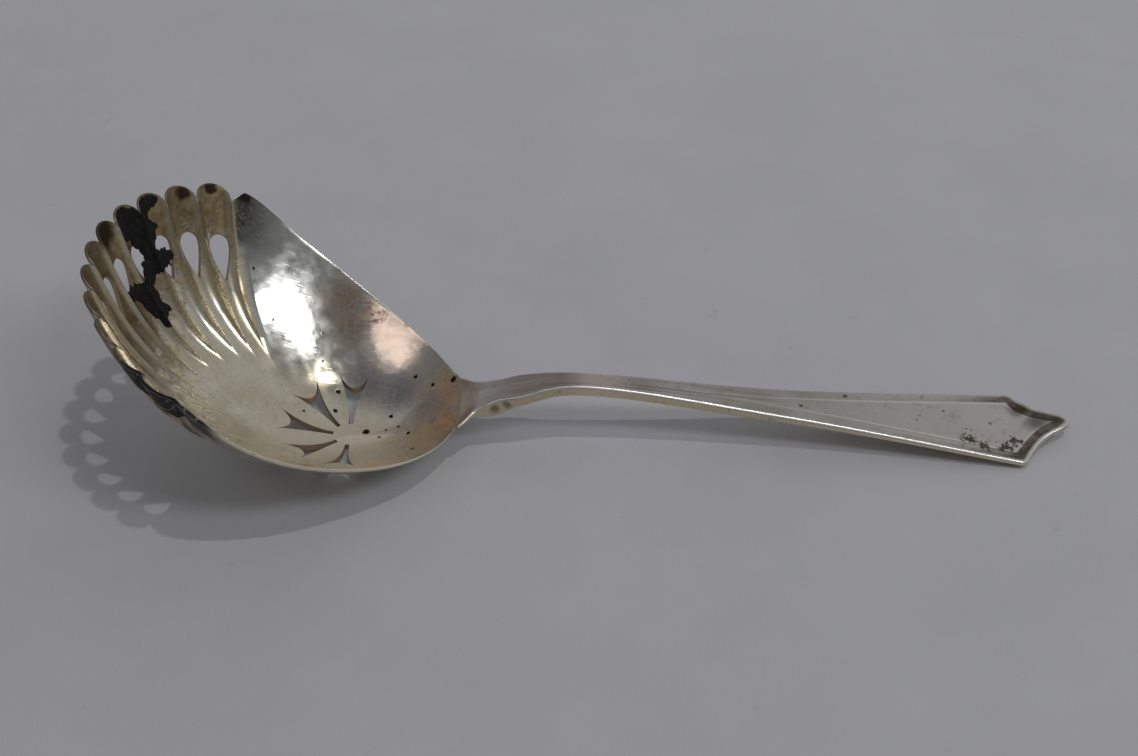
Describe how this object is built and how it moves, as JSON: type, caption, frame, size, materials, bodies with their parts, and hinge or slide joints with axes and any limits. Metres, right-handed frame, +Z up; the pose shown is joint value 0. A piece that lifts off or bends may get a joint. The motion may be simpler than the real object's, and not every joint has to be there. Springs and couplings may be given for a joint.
{
  "type": "pierced ladle",
  "caption": "Small silver ladle with a round tipped bowl, a fluted fan of pierced lobes at its tip, a half flower of slots in its floor and a flared shield-ended handle.",
  "frame": {"origin": "middle of the small worn flat under the bowl, where the ladle rests on the table", "axes": "+X along the handle from bowl to shield end, +Z up from the table, +Y across the bowl; the bowl's lobes point to -X"},
  "size_m": [0.1519, 0.0564, 0.0391],
  "materials": {
    "bowl_silver": "pressed silver sheet, warm tarnish, semi-bright",
    "handle_silver": "die-struck silver, light grey tarnish, semi-bright",
    "silver_solder": "silver solder, dull"
  },
  "bodies": {
    "root": {"bowl": "bowl_silver", "handle": "handle_silver", "solder_seam": "silver_solder"}
  },
  "joints": []
}
